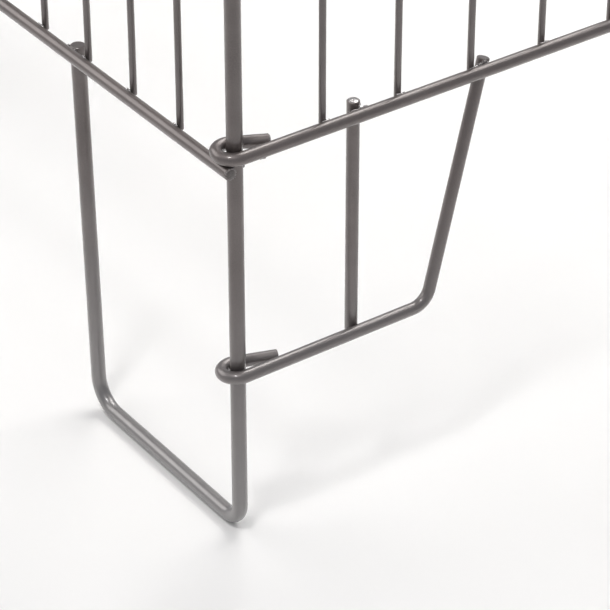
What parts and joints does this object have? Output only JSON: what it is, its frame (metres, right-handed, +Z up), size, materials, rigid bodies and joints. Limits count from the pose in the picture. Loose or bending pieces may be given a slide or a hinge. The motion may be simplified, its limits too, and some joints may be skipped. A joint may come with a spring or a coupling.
{
  "type": "wire mesh container",
  "caption": "Foldable wire mesh container: mesh leaves hinged on corner posts by bent rod eyes, U-shaped rod feet and a wire floor that swings up.",
  "frame": {"origin": "centre of the footprint on the ground plane", "axes": "+X to the right, +Y to the back, +Z up; the mesh leaves are at the front and the back, the rigid sides at the left and the right"},
  "size_m": [0.6044, 0.6066, 0.9],
  "materials": {
    "post_coating": "satin",
    "rail_coating": "satin",
    "wire_coating": "satin"
  },
  "bodies": {
    "left_side": {"front_left_leg": "post_coating", "back_left_leg": "post_coating", "left_top_rail": "post_coating", "left_tie_1": "rail_coating", "left_tie_2": "rail_coating", "left_tie_3": "rail_coating", "left_tie_4": "rail_coating", "left_wires": "wire_coating", "left_ledge": "rail_coating"},
    "right_side": {"front_right_leg": "post_coating", "back_right_leg": "post_coating", "right_top_rail": "post_coating", "right_tie_1": "rail_coating", "right_tie_2": "rail_coating", "right_tie_3": "rail_coating", "right_tie_4": "rail_coating", "right_wires": "wire_coating", "right_ledge": "rail_coating"},
    "front_left_leaf": {"front_left_rail_1": "rail_coating", "front_left_rail_2": "rail_coating", "front_left_rail_3": "rail_coating", "front_left_rail_4": "rail_coating", "front_left_wires": "wire_coating", "front_left_bracket": "rail_coating", "front_left_brace": "rail_coating", "front_end_post": "post_coating", "front_hinge_loops": "rail_coating"},
    "front_right_leaf": {"front_right_rail_1": "rail_coating", "front_right_rail_2": "rail_coating", "front_right_rail_3": "rail_coating", "front_right_rail_4": "rail_coating", "front_right_wires": "wire_coating", "front_right_bracket": "rail_coating", "front_right_brace": "rail_coating", "front_hinge_post": "post_coating"},
    "back_left_leaf": {"back_left_rail_1": "rail_coating", "back_left_rail_2": "rail_coating", "back_left_rail_3": "rail_coating", "back_left_rail_4": "rail_coating", "back_left_wires": "wire_coating", "back_left_bracket": "rail_coating", "back_left_brace": "rail_coating", "back_end_post": "post_coating", "back_hinge_loops": "rail_coating"},
    "back_right_leaf": {"back_right_rail_1": "rail_coating", "back_right_rail_2": "rail_coating", "back_right_rail_3": "rail_coating", "back_right_rail_4": "rail_coating", "back_right_wires": "wire_coating", "back_right_bracket": "rail_coating", "back_right_brace": "rail_coating", "back_hinge_post": "post_coating"},
    "floor": {"floor_cross_rods": "rail_coating", "floor_edge_rods": "rail_coating", "floor_hooks": "rail_coating", "floor_rests": "rail_coating", "floor_wires": "wire_coating"}
  },
  "joints": [
    {"name": "front_left_hinge", "type": "hinge", "parent": "left_side", "child": "front_left_leaf", "pos_m": [-0.29, -0.29225, 0], "axis": [0, 0, -1], "range_deg": [0, 85]},
    {"name": "front_centre_hinge", "type": "hinge", "parent": "front_left_leaf", "child": "front_right_leaf", "pos_m": [0, -0.29265, 0], "axis": [0, 0, 1], "range_deg": [0, 170]},
    {"name": "front_right_hinge", "type": "hinge", "parent": "front_right_leaf", "child": "right_side", "pos_m": [0.29, -0.29225, 0], "axis": [0, 0, -1], "range_deg": [0, 85]},
    {"name": "back_left_hinge", "type": "hinge", "parent": "left_side", "child": "back_left_leaf", "pos_m": [-0.29, 0.29225, 0], "axis": [0, 0, 1], "range_deg": [0, 85]},
    {"name": "back_right_hinge", "type": "hinge", "parent": "right_side", "child": "back_right_leaf", "pos_m": [0.29, 0.29225, 0], "axis": [0, 0, -1], "range_deg": [0, 85]},
    {"name": "floor_tilt", "type": "hinge", "parent": "left_side", "child": "floor", "pos_m": [-0.2871, 0, 0.33], "axis": [0, -1, 0], "range_deg": [0, 88]}
  ],
  "couplings": [
    {"joint": "front_centre_hinge", "follows": "front_left_hinge", "ratio": 2},
    {"joint": "front_right_hinge", "follows": "front_left_hinge", "ratio": 1},
    {"joint": "back_left_hinge", "follows": "front_left_hinge", "ratio": 1},
    {"joint": "back_right_hinge", "follows": "front_left_hinge", "ratio": 1},
    {"joint": "floor_tilt", "follows": "front_left_hinge", "ratio": 1.035}
  ]
}
